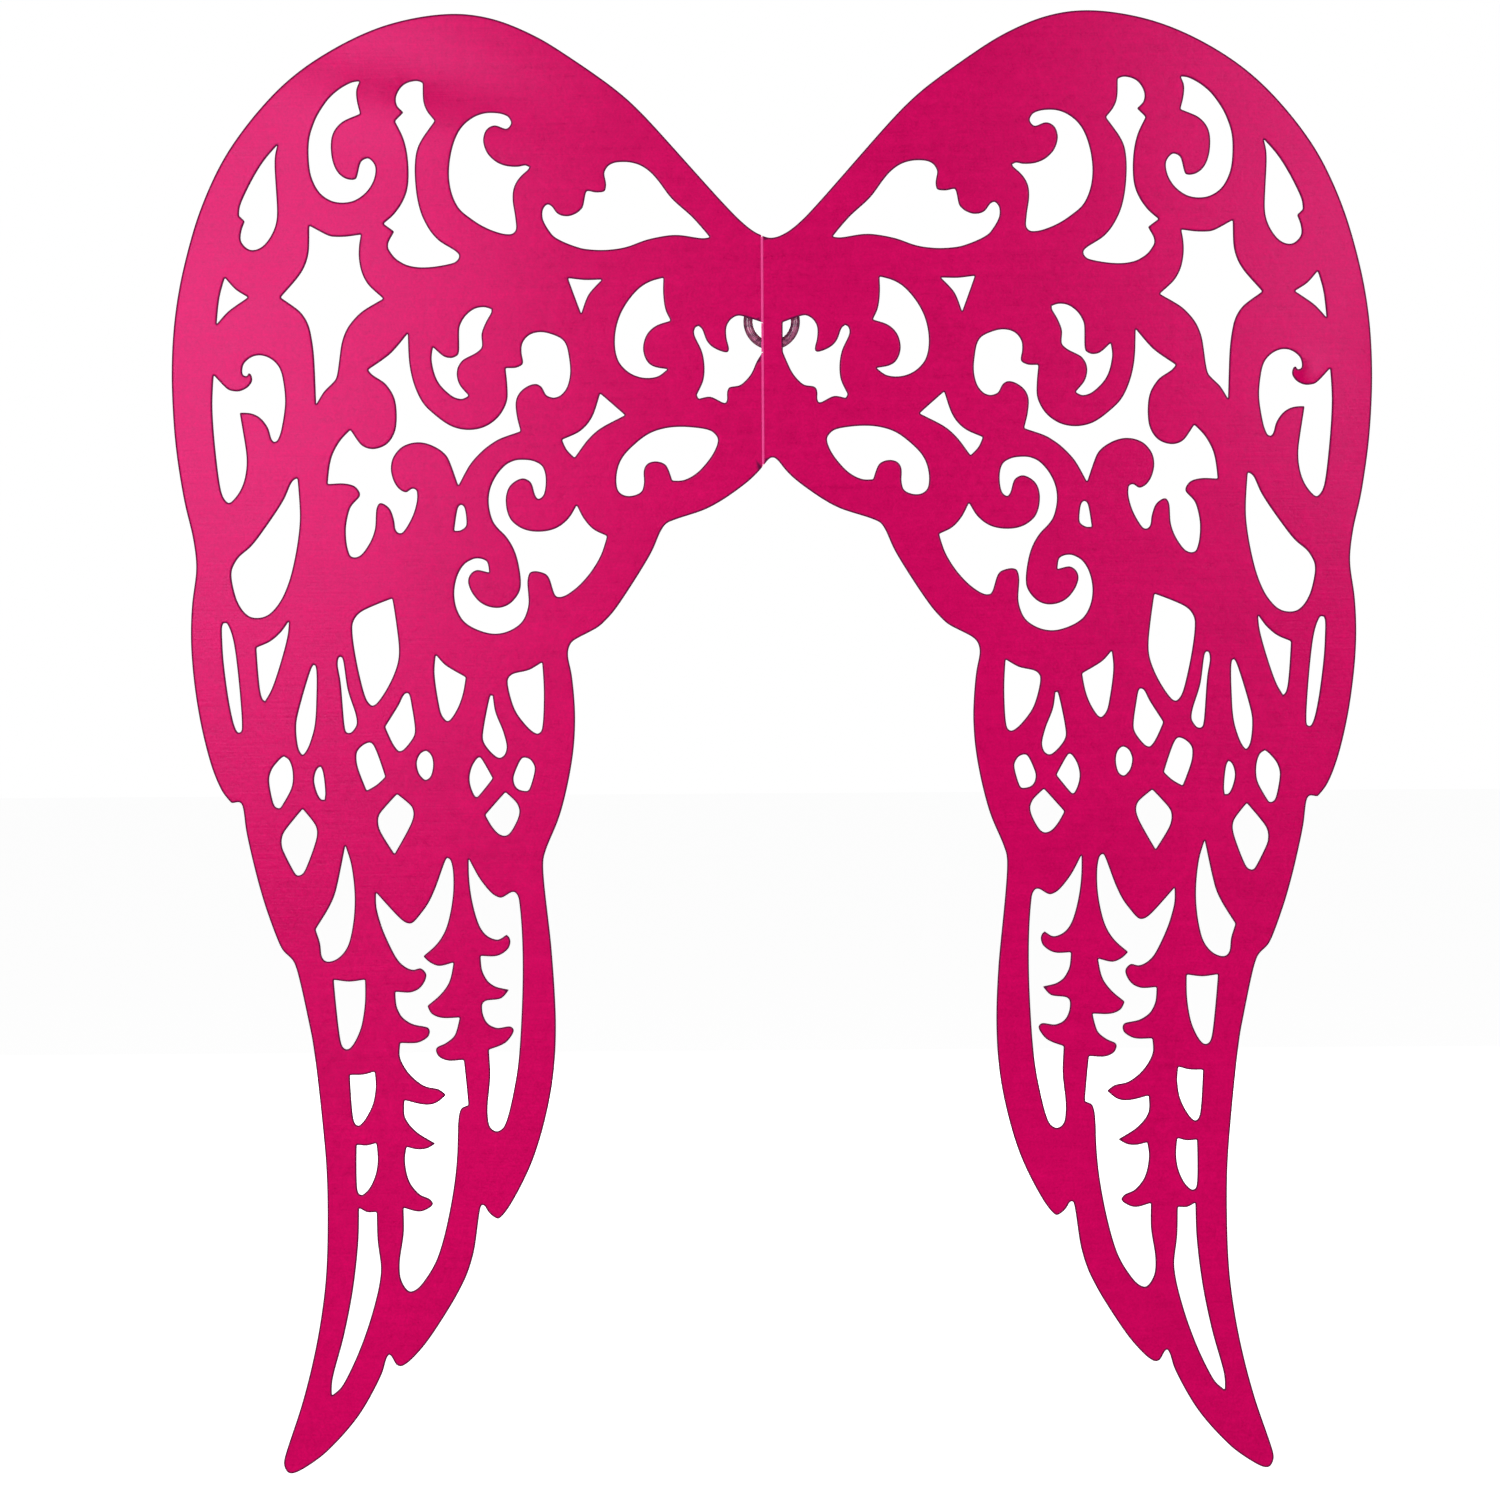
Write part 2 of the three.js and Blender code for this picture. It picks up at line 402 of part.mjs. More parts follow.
function roundedRuns(runs) {
  const shortest = Math.min(...runs.map((run) => new THREE.Path(run).getLength()));
  const back = Math.min(CUTTER_RADIUS, shortest / 3);
  const trimmed = runs.map((run) =>
    trimmedStart(trimmedStart(run, back).reverse(), back).reverse());
  return runs.flatMap((run, i) => {
    const next = trimmed[(i + 1) % runs.length];
    const bend = new THREE.QuadraticBezierCurve(trimmed[i].at(-1), run.at(-1), next[0]);
    return [...thinned(trimmed[i]), ...bend.getPoints(CORNER_FACETS).slice(1, -1)];
  });
}

function distanceFromFacet(point, start, end) {
  const along = end.clone().sub(start);
  const share = point.clone().sub(start).dot(along) / along.lengthSq();
  return point.distanceTo(start.clone().lerp(end, THREE.MathUtils.clamp(share, 0, 1)));
}

// Leaves out the points that a straight facet passes within CHORD_ERROR.
function thinned(points) {
  const [start, end] = [points[0], points.at(-1)];
  const offsets = points.map((point) => distanceFromFacet(point, start, end));
  const worst = Math.max(...offsets);
  if (worst <= CHORD_ERROR) return [start, end];
  const at = offsets.indexOf(worst);
  return [...thinned(points.slice(0, at + 1)), ...thinned(points.slice(at)).slice(1)];
}

function closedLoop(path) {
  const runs = runsBetweenCorners(path);
  if (runs) return roundedRuns(runs.map((run) => curvePoints(run, false)));
  const points = curvePoints(path, true);
  const half = Math.floor(points.length / 2);
  return [...thinned(points.slice(0, half + 1)), ...thinned(points.slice(half)).slice(1, -1)];
}

const mirrored = (path) => path.map(([x, z, kind]) => [-x, z, kind]);

// ---------------------------------------------------------------- solids
const wasm = await Module();
wasm.setup();

function toSolid(geometry) {
  const bare = geometry.clone();
  bare.deleteAttribute("normal");
  bare.deleteAttribute("uv");
  const merged = mergeVertices(bare, 1e-4);
  return new wasm.Manifold(new wasm.Mesh({
    numProp: 3,
    vertProperties: new Float32Array(merged.attributes.position.array),
    triVerts: new Uint32Array(merged.index.array),
  }));
}

function toGeometry(solid) {
  const mesh = solid.getMesh();
  const geometry = new THREE.BufferGeometry();
  geometry.setAttribute("position", new THREE.BufferAttribute(mesh.vertProperties, 3));
  geometry.setIndex(new THREE.BufferAttribute(mesh.triVerts, 1));
  geometry.computeVertexNormals();
  return geometry;
}

// Stands a drawing in the XZ plane and gives it a thickness back from frontY.
function standingPlate(shape, thickness, frontY) {
  const plate = new THREE.ExtrudeGeometry(shape, { depth: thickness, bevelEnabled: false });
  plate.rotateX(Math.PI / 2);
  plate.translate(0, frontY + thickness, 0);
  return plate;
}

function wholeSheet() {
  const otherHalf = mirrored(OUTLINE).slice(1, -1).reverse();
  const edge = closedLoop([...OUTLINE, ...otherHalf]).reverse();
  const sheet = new THREE.Shape(edge); // runs anticlockwise
  const groups = [UPPER_CUTOUTS, MIDDLE_CUTOUTS, LOWER_CUTOUTS, TAIL_CUTOUTS];
  const paths = groups.flatMap((group) => Object.values(group));
  const rightOfWeb = webCutout(WEB_RIGHT_X / SPAN_STRETCH);
  const leftOfWeb = mirrored(webCutout(-CREASE_X / SPAN_STRETCH));
  const cutouts = [...paths, rightOfWeb, ...paths.map(mirrored), leftOfWeb];
  sheet.holes = cutouts.map((path) => new THREE.Path(closedLoop(path)));
  return toSolid(standingPlate(sheet, SHEET_THICKNESS, SHEET_FRONT_Y));
}

// What is left of a solid on one side of the plane x = edge; side is -1 for left, 1 for right.
function panel(sheet, edge, side) {
  const box = sheet.boundingBox();
  const width = box.max[0] - box.min[0];
  const height = 2 * (box.max[2] - box.min[2]);
  const cutter = new THREE.BoxGeometry(width, width, height);
  cutter.translate(edge - (side * width) / 2, 0, 0);
  return toGeometry(sheet.subtract(toSolid(cutter)));
}

function ringGeometry() {
  const stockRadius = RING_SECTION / 2;
  const ring = new THREE.TorusGeometry(RING_RADIUS, stockRadius, STOCK_FACETS, RING_FACETS);
  ring.rotateX(Math.PI / 2);
  return ring;
}

// The tab is a strip folded round the ring's stock: an eye below and two layers above, drawn from
// the side with its show face to the left and extruded across.
function tabGeometry() {
  const side = new THREE.Shape();
  side.moveTo(TAB_FRONT_Y, TAB_FLAT_HALF);
  side.lineTo(TAB_FRONT_Y, EYE_Z);
  drawEye(side, EYE_OUTER_RADIUS);
  side.lineTo(0, -TAB_FLAT_HALF);
  side.lineTo(0, TAB_FLAT_HALF);
  const eye = new THREE.Path();
  const insideY = EYE_Y - EYE_RADIUS;
  eye.moveTo(insideY, EYE_Z);
  drawEye(eye, EYE_RADIUS);
  eye.lineTo(insideY, -TAB_FLAT_HALF - TAB_STRIP);
  side.holes = [eye];
  const settings = { depth: TAB_WIDTH, bevelEnabled: false, curveSegments: EYE_FACETS };
  const tab = new THREE.ExtrudeGeometry(side, settings);
  tab.rotateY(Math.PI / 2);
  tab.rotateX(Math.PI / 2);
  return tab;
}

// Half a turn under the ring's stock, then a bend that closes in over it.
function drawEye(path, radius) {
  path.absarc(EYE_Y, EYE_Z, radius, Math.PI, 2 * Math.PI, false);
  path.quadraticCurveTo(EYE_Y + radius, EYE_Z + radius / 2, EYE_Y, EYE_Z + radius);
}

// ---------------------------------------------------------------- materials and assembly
const material = (color, roughness) =>
  new THREE.MeshStandardMaterial({ color, roughness, metalness: 0 });

const MAGENTA_SHEET = material(0xc4025a, 0.45);
const SMOKY_CLEAR = material(0x8a6a78, 0.25);
const TAB_FILM = material(0xb9a9b2, 0.35);

const wings = new THREE.Group();

function add(name, geometry, finish, x = 0, y = 0, z = 0) {
  const mesh = new THREE.Mesh(geometry, finish.clone());
  mesh.name = name;
  mesh.position.set(x, y, z);
  wings.add(mesh);
}

const sheet = wholeSheet();
add("left_wing", panel(sheet, LEFT_PANEL_EDGE_X, -1), MAGENTA_SHEET);
add("right_wing", panel(sheet, RIGHT_PANEL_EDGE_X, 1), MAGENTA_SHEET);
add("ring_tab", tabGeometry(), TAB_FILM, -TAB_WIDTH / 2, 0, 0);
add("strap_ring", ringGeometry(), SMOKY_CLEAR, 0, EYE_Y, RING_CENTRE_Z);

export default wings;
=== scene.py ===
"""Fairy wings: the looks of a flat filigree sheet with a crease, a hanging ring and its tab.

Lengths are metres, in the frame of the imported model: +X right as the show face is looked at, +Y back
towards the wearer, +Z up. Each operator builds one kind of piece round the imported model.
"""

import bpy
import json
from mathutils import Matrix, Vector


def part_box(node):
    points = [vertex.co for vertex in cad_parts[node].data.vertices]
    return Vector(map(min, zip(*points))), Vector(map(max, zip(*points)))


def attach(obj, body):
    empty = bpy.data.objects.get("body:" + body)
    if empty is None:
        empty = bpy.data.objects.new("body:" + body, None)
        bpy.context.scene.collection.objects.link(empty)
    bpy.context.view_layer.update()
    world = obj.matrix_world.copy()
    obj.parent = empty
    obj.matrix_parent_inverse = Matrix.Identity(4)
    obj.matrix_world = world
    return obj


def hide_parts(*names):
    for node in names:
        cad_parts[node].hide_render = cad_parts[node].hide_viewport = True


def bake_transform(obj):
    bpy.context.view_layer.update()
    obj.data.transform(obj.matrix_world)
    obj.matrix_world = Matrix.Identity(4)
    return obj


bl_info = {
    "name": "Fairy Wings",
    "version": (1, 0, 0),
    "blender": (4, 5, 0),
    "location": "View3D > Sidebar > Fairy Wings",
    "description": "Builds the sheet, crease, ring and tab of a pair of filigree fairy wings",
    "category": "Object",
}

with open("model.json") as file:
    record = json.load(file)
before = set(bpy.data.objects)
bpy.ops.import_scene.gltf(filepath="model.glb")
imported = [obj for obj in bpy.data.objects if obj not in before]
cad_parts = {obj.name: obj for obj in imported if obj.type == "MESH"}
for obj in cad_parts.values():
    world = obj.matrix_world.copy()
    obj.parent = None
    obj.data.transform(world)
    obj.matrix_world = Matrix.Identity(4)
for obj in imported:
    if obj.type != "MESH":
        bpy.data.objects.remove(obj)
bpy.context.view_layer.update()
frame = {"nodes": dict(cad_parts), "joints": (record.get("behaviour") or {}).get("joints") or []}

import json
import math

import bmesh
import bpy
import numpy as np
from bpy.props import FloatProperty, FloatVectorProperty, IntProperty, PointerProperty
from mathutils import Matrix, Vector
from mathutils.geometry import delaunay_2d_cdt
from mathutils.kdtree import KDTree

MM = 0.001
MERGE = 0.002 * MM  # vertices closer than this are one
SHARP_TURN = math.radians(62)  # an outline that turns more than this at a point has a corner there
SHEET_SMOOTH = math.radians(60)  # faces that meet at less than this are shaded as one
CREASE_SMOOTH = math.radians(50)
FILM_SMOOTH = math.radians(40)
FLOOR_SIZE = 60

LEFT_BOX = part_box("left_wing")
RIGHT_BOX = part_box("right_wing")
TAB_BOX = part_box("ring_tab")
RING_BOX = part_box("strap_ring")
FOLD = next(joint for joint in frame["joints"] if joint["name"] == "wing_fold")
SWING = next(joint for joint in frame["joints"] if joint["name"] == "ring_swing")

FRONT_Y = LEFT_BOX[0].y  # the show face
BACK_Y = LEFT_BOX[1].y
CREASE_X = FOLD["pos_m"][0]
REACH = RIGHT_BOX[1].x  # from the mirror line to a wing's widest point
TOP_Z = RIGHT_BOX[1].z
TIP_Z = RIGHT_BOX[0].z


# ---------------------------------------------------------------- sizes and colours

def length(name, description, default_mm, most_mm=50.0):
    """A length property with its default and most in millimetres."""
    return FloatProperty(name=name, description=description, default=default_mm * MM, min=0,
                         max=most_mm * MM, subtype="DISTANCE", unit="LENGTH", precision=5)


def colour(name, description, rgb):
    """A colour property, its default given as linear red, green and blue."""
    return FloatVectorProperty(name=name, description=description, default=rgb, size=3, min=0,
                               max=1, subtype="COLOR")


def share(name, description, default, most=1.0):
    """A plain number property from 0."""
    return FloatProperty(name=name, description=description, default=default, min=0, max=most)


def power(name, description, watts):
    """A light's power."""
    return FloatProperty(name=name, description=description, default=watts, min=0, max=500, unit="POWER")


class SheetSettings(bpy.types.PropertyGroup):
    """The die-cut sheet"""

    edge_round: length("Edge round", "How far the cut edge is rounded over", 0.12, 0.3)
    # Painted shade: the cut edges and the band beside them are darkened to stand for their shade.
    edge_band: length("Edge band", "Width of the darker band beside a cut edge", 0.8, 2)
    edge_step: length("Edge step", "Longest step along a cut edge", 1.2)
    facet_turn: FloatProperty(name="Facet turn", description="Turn from one facet of an edge to the next",
                              default=math.radians(7), min=0.01, max=1, subtype="ANGLE")
    grid: length("Grid", "Spacing of the points that let the sheet bow", 7, 40)
    bow: length("Bow", "How far the outer edge of a wing leans back", 7, 9)
    tail_sway: length("Tail sway", "How far the tails swing forward again", 3.0, 9)
    ripple: length("Ripple", "Height of the sheet's slow waves", 0.5, 3)
    dent: length("Dent", "Depth of the soft buckle at the top of the left wing", 0.75, 5)
    curl: length("Curl", "How far the tip of the right hook curls forward", 1.6, 5)
    magenta: colour("Magenta", "Colour of the sheet", (0.60, 0.0006, 0.101))
    # This colour is painted shade on the cut edges and in thin bands beside the fold line.
    cut_edge: colour("Cut edge", "Colour of the cut edge", (0.11, 0.003, 0.042))
    # This colour is a painted highlight along the fold line.
    crease_highlight: colour("Crease whitening", "Colour of the creased plastic", (0.86, 0.09, 0.33))
    satin_tint: colour("Satin tint", "Colour of the satin's shine", (1.0, 0.17, 0.49))
    roughness: share("Roughness", "Roughness of the satin face", 0.29)


class CreaseSettings(bpy.types.PropertyGroup):
    """The fold line down the middle"""

    half_width: length("Half width", "Half the width of the raised fold line", 0.41, 1)
    rise: length("Rise", "How far the fold line stands proud of the show face", 0.07, 0.5)
    depth: length("Depth", "Thickness of the plastic left at the fold", 0.3, 0.8)
    steps: IntProperty(name="Steps", description="Points across the fold line", default=8, min=4, max=32)
    rows: IntProperty(name="Rows", description="Steps along each stretch of the fold line", default=12,
                      min=2, max=200)
    shy: length("Shy", "How far the fold line stops short of the sheet's top and bottom edges", 0.7, 5)
    relief: length("Relief", "Gap between the line beside the web and the left panel", 0.3, 2)


class RingSettings(bpy.types.PropertyGroup):
    """The moulded ring"""

    around: IntProperty(name="Around", description="Steps round the ring", default=160, min=24, max=400)
    across: IntProperty(name="Across", description="Steps round the ring's stock", default=40, min=12,
                        max=96)
    seam: length("Seam", "Height of the moulding line", 0.06, 0.5)
    smoke: colour("Smoke", "Colour of the clear plastic", (0.42, 0.12, 0.22))
    cloud: colour("Cloud", "Colour of the darker swirls", (0.13, 0.035, 0.08))
    roughness: share("Roughness", "Roughness of the moulded face", 0.16)


class TabSettings(bpy.types.PropertyGroup):
    """The folded film tab"""

    film: length("Film", "Thickness of the film", 0.46, 0.5)
    corner: length("Corner", "Radius of the tab's corners", 1.3, 2.5)
    edge_round: length("Edge round", "How far the film's edges are rounded", 0.06, 0.2)
    eye_steps: IntProperty(name="Eye steps", description="Steps round the eye", default=28, min=8, max=64)
    tint: colour("Tint", "Colour of the film", (0.72, 0.64, 0.69))
    roughness: share("Roughness", "Roughness of the frosted film", 0.38)


class StageSettings(bpy.types.PropertyGroup):
    """Floor, light and camera"""

    lens: FloatProperty(name="Lens", description="Focal length of the camera", default=100, min=20,
                        max=300, unit="CAMERA")
    roll: FloatProperty(name="Roll", description="How far the camera leans over", min=-0.2, max=0.2,
                        default=math.radians(-0.36), subtype="ANGLE")
    frame_width: length("Frame width", "Width that the camera takes in at the wings", 558.7, 5000)
    aside: length("Aside", "How far left of the mirror line the camera stands", 9.1, 500)
    lower: length("Lower", "How far under the middle of the wings the camera stands", 3.4, 500)
    floor_drop: length("Floor drop", "How far the floor lies under the wings' tips", 60, 2000)
    floor_tone: colour("Floor tone", "Colour of the floor", (0.92, 0.92, 0.92))
    floor_glow: share("Floor glow", "Brightness that is added to the floor as it is looked at", 0.96, 10)
    daylight: share("Daylight", "Strength of the even light", 0.02, 10)
    softbox: length("Softbox", "Size of the two softboxes", 550, 5000)
    softbox_away: length("Softbox away", "How far the softboxes stand in front of the wings", 1000, 5000)
    left_watts: power("Left light", "Power of the softbox on the left", 6.7)
    right_watts: power("Right light", "Power of the softbox on the right", 5.0)
    front_away: length("Front away", "How far the front fill stands from the wings", 1500, 9000)
    front_watts: power("Front fill", "Power of the light that evens out the show face", 13.6)
    back_away: length("Back away", "How far the back fill stands from the wings", 3000, 9000)
    back_watts: power("Back fill", "Power of the light behind the wings", 45)


class WingSettings(bpy.types.PropertyGroup):
    """All settings of the wings"""

    sheet: PointerProperty(type=SheetSettings)
    crease: PointerProperty(type=CreaseSettings)
    ring: PointerProperty(type=RingSettings)
    tab: PointerProperty(type=TabSettings)
    stage: PointerProperty(type=StageSettings)


# ---------------------------------------------------------------- material nodes

class Wire:
    """One value, colour or vector in a material. Arithmetic on it adds Math nodes."""

    def __init__(self, finish, socket):
        self.finish = finish
        self.socket = socket

    def _math(self, operation, *values):
        return self.finish.node("ShaderNodeMath", {"operation": operation}, dict(enumerate(values)))

    def __add__(self, other):
        return self._math("ADD", self, other)

    def __radd__(self, other):
        return self._math("ADD", other, self)

    def __sub__(self, other):
        return self._math("SUBTRACT", self, other)

    def __rsub__(self, other):
        return self._math("SUBTRACT", other, self)

    def __mul__(self, other):
        return self._math("MULTIPLY", self, other)

    def __rmul__(self, other):
        return self._math("MULTIPLY", other, self)

    def size(self):
        return self._math("ABSOLUTE", self)

    def fade(self, start, end):
        """1 up to start, falling smoothly to 0 at end, or the other way round if end is lower."""
        sockets = {"Value": self, "From Min": start, "From Max": end, "To Min": 1.0, "To Max": 0.0}
        return self.finish.node("ShaderNodeMapRange", {"interpolation_type": "SMOOTHSTEP"}, sockets)


class Finish:
    """A material with one Principled shader, and the nodes that lead to it."""

    def __init__(self, name):
        self.material = bpy.data.materials.new(name)
        self.material.use_nodes = True
        self.tree = self.material.node_tree
        self.shader = self.tree.nodes["Principled BSDF"]
        self.place = self.node("ShaderNodeTexCoord", out="Object")

    def node(self, kind, settings=None, sockets=None, out=0):
        """Adds a node: its settings are set first, then its sockets are given values or links."""
        node = self.tree.nodes.new(kind)
        for name, value in (settings or {}).items():
            setattr(node, name, value)
        for name, value in (sockets or {}).items():
            self._plug(node.inputs[name], value)
        return Wire(self, node.outputs[out])

    def set(self, **values):
        """Gives the shader's sockets their values, or links; base_color is Base Color."""
        for name, value in values.items():
            title = name.replace("_", " ").title().replace("Ior", "IOR")
            self._plug(self.shader.inputs[title], value)

    def _plug(self, socket, value):
        if isinstance(value, Wire):
            self.tree.links.new(value.socket, socket)
        elif socket.type == "RGBA" and len(value) == 3:
            socket.default_value = (*value, 1.0)
        else:
            socket.default_value = value

    def noise(self, scale, detail=2.0, roughness=0.5, stretch=(1, 1, 1), distortion=0.0):
        """Noise from 0 to 1 with scale lumps to the metre, finer along an axis that is stretched."""
        place = self.node("ShaderNodeMapping", None, {"Vector": self.place, "Scale": stretch})
        sockets = {"Vector": place, "Scale": scale, "Detail": detail, "Roughness": roughness,
                   "Distortion": distortion}
        return self.node("ShaderNodeTexNoise", None, sockets, out="Fac")

    def mix(self, share_of_second, first, second, blend="MIX"):
        """A colour between first and second."""
        settings = {"data_type": "RGBA", "blend_type": blend}
        return self.node("ShaderNodeMix", settings, {0: share_of_second, 6: first, 7: second}, out=2)

    def axes(self):
        """The x, y and z of the place on the piece."""
        split = self.node("ShaderNodeSeparateXYZ", None, {0: self.place}).socket.node
        return [Wire(self, output) for output in split.outputs]

    def bump(self, height, distance):
        """A normal that follows a height from 0 to 1, which stands for the distance."""
        return self.node("ShaderNodeBump", None,
                         {"Height": height, "Distance": distance, "Strength": 1.0})


# ---------------------------------------------------------------- helpers

def settings():
    return bpy.context.scene.fairy_wings


def deselect():
    if bpy.context.mode != "OBJECT":
        bpy.ops.object.mode_set(mode="OBJECT")
    bpy.ops.object.select_all(action="DESELECT")


def pick(piece):
    """Makes a piece the only selected object, and the active one."""
    deselect()
    piece.select_set(True)
    bpy.context.view_layer.objects.active = piece
    return piece


def new_piece(name, points, faces):
    """A mesh piece from points and faces."""
    mesh = bpy.data.meshes.new(name)
    mesh.from_pydata([tuple(point) for point in points], [], faces)
    mesh.validate()
    piece = bpy.data.objects.new(name, mesh)
    bpy.context.scene.collection.objects.link(piece)
    return pick(piece)


def settle(piece):
    """Puts a piece's place into its mesh."""
    pick(piece)
    bpy.ops.object.transform_apply(location=True, rotation=True, scale=True)


def dress(piece, finish):
    """Gives a piece its only material."""
    piece.data.materials.clear()
    piece.data.materials.append(finish.material)


# ---------------------------------------------------------------- the sheet

def face_loops(node_name):
    """The closed loops round a panel's show face as arrays of x, z, with the sheet on their left."""
    bm = bmesh.new()
    bm.from_mesh(frame["nodes"][node_name].data)
    bmesh.ops.remove_doubles(bm, verts=bm.verts, dist=MERGE)
    shown = {face for face in bm.faces if all(vert.co.y < FRONT_Y + MERGE for vert in face.verts)}
    following = {}
    for face in shown:
        for corner in face.loops:
            if corner.link_loop_radial_next.face not in shown:
                following[corner.vert] = corner.link_loop_next.vert
    loops = []
    while following:
        start, vert = next(iter(following.items()))
        del following[start]
        places = [start.co]
        while vert is not start:
            places.append(vert.co)
            vert = following.pop(vert)
        loops.append(np.array([(place.x, place.z) for place in places]))
    bm.free()
    return loops


def turns(loop):
    """The turn at each point of a closed loop."""
    ahead = np.roll(loop, -1, axis=0) - loop
    angle = np.arctan2(ahead[:, 1], ahead[:, 0])
    turn = angle - np.roll(angle, 1)
    return np.abs((turn + math.pi) % (2 * math.pi) - math.pi)


def between(before, start, end, after, count):
    """count points from start towards end, on a centripetal curve through all four."""
    knots = [0.0]
    for a, b in ((before, start), (start, end), (end, after)):
        knots.append(knots[-1] + max(np.linalg.norm(b - a), MERGE) ** 0.5)
    t = np.linspace(knots[1], knots[2], count, endpoint=False)[:, None]

    def blend(a, b, low, high):
        return a * (high - t) / (high - low) + b * (t - low) / (high - low)

    first = blend(before, start, knots[0], knots[1])
    middle = blend(start, end, knots[1], knots[2])
    last = blend(end, after, knots[2], knots[3])
    left = blend(first, middle, knots[0], knots[2])
    right = blend(middle, last, knots[1], knots[3])
    return blend(left, right, knots[1], knots[2])


def rounded(loop, crease_edge, sheet):
    """A loop with its facets drawn out into curves. Points on the crease edge stay corners."""
    turn = turns(loop)
    corner = (turn > SHARP_TURN) | (np.abs(loop[:, 0] - crease_edge) < MERGE)
    points = []
    for i in range(len(loop)):
        before, start, end, after = (loop[(i + step) % len(loop)] for step in (-1, 0, 1, 2))
        at_start, at_end = corner[i], corner[(i + 1) % len(loop)]
        if at_start:
            before = 2 * start - end
        if at_end:
            after = 2 * end - start
        bend = (0 if at_start else turn[i]) + (0 if at_end else turn[(i + 1) % len(loop)])
        count = max(bend / 2 / sheet.facet_turn, np.linalg.norm(end - start) / sheet.edge_step, 1)
        points.append(between(before, start, end, after, math.ceil(count)))
    return np.vstack(points)


def moved_in(loop, distance, still_x):
    """A loop moved into the sheet, on its left, but less at sharp points and not at still_x."""
    ahead = np.roll(loop, -1, axis=0) - loop
    ahead /= np.maximum(np.linalg.norm(ahead, axis=1), MERGE)[:, None]
    left = np.stack([-ahead[:, 1], ahead[:, 0]], axis=1)
    both = left + np.roll(left, 1, axis=0)
    both /= np.maximum((both ** 2).sum(axis=1) / 2, 0.9)[:, None]
    reach = np.minimum(np.abs(loop[:, 0] - still_x) / 3, distance)
    for _ in range(20):
        moved = loop + both * reach[:, None]
        crossed = ((np.roll(moved, -1, axis=0) - moved) * ahead).sum(axis=1) < MERGE
        crossed |= np.roll(crossed, 1)
        if not crossed.any():
            break
        reach[crossed] *= 0.7
    return moved


def clear_of(places, tree, distance):
    """The places that lie further than distance from every point in the tree."""
    return [(x, z) for x, z in places if tree.find((x, z, 0))[2] > distance]


def filled(rims, band, spacing, still_x):
    """The points and triangles that fill the rims. A band of points runs inside them, then a grid."""
    edge_points = np.vstack(rims)
    edges, first = [], 0
    for rim in rims:
        count = len(rim)
        edges += [(first + i, first + (i + 1) % count) for i in range(count)]
        first += count
    tree = KDTree(len(edge_points))
    for i, (x, z) in enumerate(edge_points):
        tree.insert((x, z, 0), i)
    tree.balance()
    beside = clear_of(np.vstack([moved_in(rim, band, still_x) for rim in rims]), tree, 0.9 * band)
    columns, rows = (np.arange(low, high, spacing) for low, high in zip(edge_points.min(axis=0),
                                                                        edge_points.max(axis=0)))
    grid = clear_of([(x, z) for x in columns for z in rows], tree, spacing / 2)
    flat = np.vstack([edge_points, beside, grid])
    made = delaunay_2d_cdt([Vector(place) for place in flat / MM], edges, [], 0, 1e-5, True)
    sources = [indices[0] for indices in made[3]]
    triangles = left_of(edges, [[sources[i] for i in face] for face in made[2]])
    used = sorted({i for face in triangles for i in face if i >= len(edge_points)})
    renumber = {old: len(edge_points) + new for new, old in enumerate(used)}
    triangles = [[renumber.get(i, i) for i in face] for face in triangles]
    return np.vstack([edge_points, flat[used]]), triangles


def left_of(edges, triangles):
    """The triangles on the left of the edges, and all that join them without crossing an edge."""
    rim = set(edges)
    owner = {(face[k - 1], face[k]): face for face in triangles for k in range(3)}
    waiting = list(edges)
    inside = {}
    while waiting:
        face = owner[waiting.pop()]
        if tuple(face) in inside:
            continue
        inside[tuple(face)] = face
        sides = [(face[k - 1], face[k]) for k in range(3)]
        waiting += [(b, a) for a, b in sides if (a, b) not in rim]
    return list(inside.values())


def hill(x, z, centre_x, centre_z, wide, tall, lean=0.0):
    """1 at its centre, falling away smoothly; lean turns it anticlockwise."""
    across = (x - centre_x) * math.cos(lean) + (z - centre_z) * math.sin(lean)
    up = (z - centre_z) * math.cos(lean) - (x - centre_x) * math.sin(lean)
    return np.exp(-((across / wide) ** 2) - (up / tall) ** 2)


def sway(x, z, sheet):
    """How far the sheet leans back (+) or forward (-) of flat at a place. The middle stays flat."""
    out = np.clip(np.abs(x - CREASE_X) / REACH, 0, 1)
    down = np.clip((TOP_Z - z) / (TOP_Z - TIP_Z), 0, 1)
    lean = sheet.bow * out ** 2 * (1 - 0.5 * down) - sheet.tail_sway * down ** 2 * out
    waves = np.sin(x / (61 * MM) + 0.6) * np.sin(z / (74 * MM) + 1.1)
    waves += 0.5 * np.sin(x / (29 * MM) + z / (43 * MM))
    lean = lean + sheet.ripple * out * waves
    top = hill(x, z, -0.60 * REACH, 0.80 * TOP_Z, 46 * MM, 9 * MM, math.radians(-12))
    below = hill(x, z, -0.60 * REACH, 0.58 * TOP_Z, 40 * MM, 10 * MM, math.radians(-12))
    hook = hill(x, z, 0.874 * REACH, -0.40 * TOP_Z, 4 * MM, 4 * MM)
    return lean + sheet.dent * (top - below) - sheet.curl * hook


